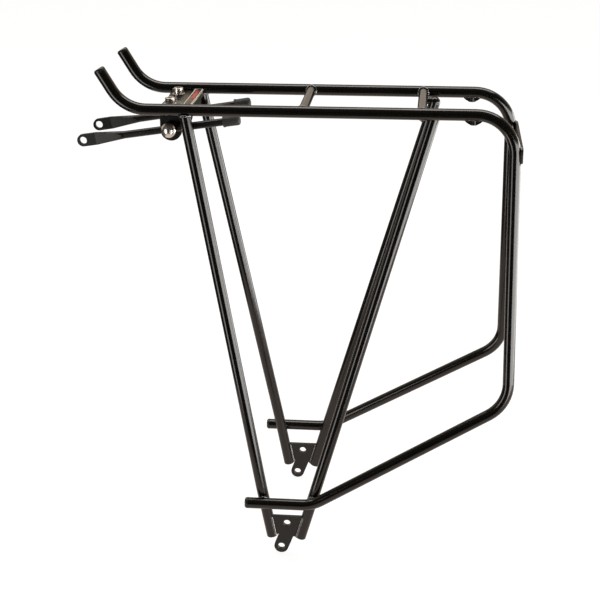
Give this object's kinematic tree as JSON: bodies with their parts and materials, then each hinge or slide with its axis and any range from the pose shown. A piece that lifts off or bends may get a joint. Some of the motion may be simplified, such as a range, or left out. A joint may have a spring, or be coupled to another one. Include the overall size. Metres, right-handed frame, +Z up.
{
  "type": "bicycle rear carrier",
  "caption": "Tubular steel rear carrier for a bicycle, with upturned front horns, side loops for panniers, foot plates and adjustable front stays.",
  "frame": {"origin": "midway between the two lower foot eyelets, on their common axis", "axes": "+X to the rear of the bicycle, +Y to its right-hand side, +Z up, with the deck level"},
  "size_m": [0.383, 0.175, 0.4395],
  "materials": {
    "frame_tube": "black gloss powder coat over brazed steel tube, faint orange peel",
    "frame_plate": "black gloss powder coat on sheet steel, rounded at the cut edges",
    "tube_plug": "black moulded plug, satin gloss",
    "badge": "dark badge with a pale metal rim and a plain red band",
    "fastener": "polished stainless steel",
    "bracket": "black semi-gloss coat on pressed steel",
    "stay": "black satin coat on steel rod",
    "rubber_cap": "soft matt black rubber"
  },
  "bodies": {
    "frame": {"accessory_boss_left": "frame_plate", "accessory_boss_right": "frame_plate", "badge": "badge", "bridge_plate": "frame_plate", "crossbar_middle": "frame_tube", "crossbar_rear": "frame_tube", "foot_plate_left": "frame_plate", "foot_plate_right": "frame_plate", "front_leg_left": "frame_tube", "front_leg_right": "frame_tube", "horn_plug_left": "tube_plug", "horn_plug_right": "tube_plug", "light_plate": "frame_plate", "rear_leg_left": "frame_tube", "rear_leg_right": "frame_tube", "side_loop_left": "frame_tube", "side_loop_right": "frame_tube", "stub_plug_left": "tube_plug", "stub_plug_right": "tube_plug"},
    "bolt_right": {"bracket_bolt_right": "fastener", "bracket_washer_right": "fastener", "bracket_nut_right": "fastener"},
    "bracket_right": {"stay_bracket_right": "bracket"},
    "clamp_right": {"clamp_bolt_right": "fastener", "clamp_sleeve_right": "bracket", "clamp_washer_right": "fastener", "clamp_nut_right": "fastener"},
    "stay_right": {"stay_rod_right": "stay", "stay_cap_right": "rubber_cap"},
    "bolt_left": {"bracket_bolt_left": "fastener", "bracket_washer_left": "fastener", "bracket_nut_left": "fastener"},
    "bracket_left": {"stay_bracket_left": "bracket"},
    "clamp_left": {"clamp_bolt_left": "fastener", "clamp_sleeve_left": "bracket", "clamp_washer_left": "fastener", "clamp_nut_left": "fastener"},
    "stay_left": {"stay_rod_left": "stay", "stay_cap_left": "rubber_cap"}
  },
  "joints": [
    {"name": "bolt_slide_right", "type": "slide", "parent": "frame", "child": "bolt_right", "axis": [0, 1, 0], "range_m": [-0.004, 0]},
    {"name": "bracket_swivel_right", "type": "hinge", "parent": "bolt_right", "child": "bracket_right", "pos_m": [-0.0986, 0.0201, 0.3914], "axis": [0, 0, 1], "range_deg": [-6, 0]},
    {"name": "clamp_tilt_right", "type": "hinge", "parent": "bracket_right", "child": "clamp_right", "pos_m": [-0.0974, 0.032, 0.3775], "axis": [-0.0326, 0.9995, 0], "range_deg": [-12, 30]},
    {"name": "stay_slide_right", "type": "slide", "parent": "clamp_right", "child": "stay_right", "axis": [0.9875, 0.0322, 0.1545], "range_m": [-0.036, 0.032]},
    {"name": "bolt_slide_left", "type": "slide", "parent": "frame", "child": "bolt_left", "axis": [0, -1, 0], "range_m": [-0.004, 0]},
    {"name": "bracket_swivel_left", "type": "hinge", "parent": "bolt_left", "child": "bracket_left", "pos_m": [-0.0986, -0.0201, 0.3914], "axis": [0, 0, -1], "range_deg": [-6, 0]},
    {"name": "clamp_tilt_left", "type": "hinge", "parent": "bracket_left", "child": "clamp_left", "pos_m": [-0.0974, -0.032, 0.3775], "axis": [0.0326, 0.9995, 0], "range_deg": [-12, 30]},
    {"name": "stay_slide_left", "type": "slide", "parent": "clamp_left", "child": "stay_left", "axis": [0.9875, -0.0322, 0.1545], "range_m": [-0.036, 0.032]}
  ]
}
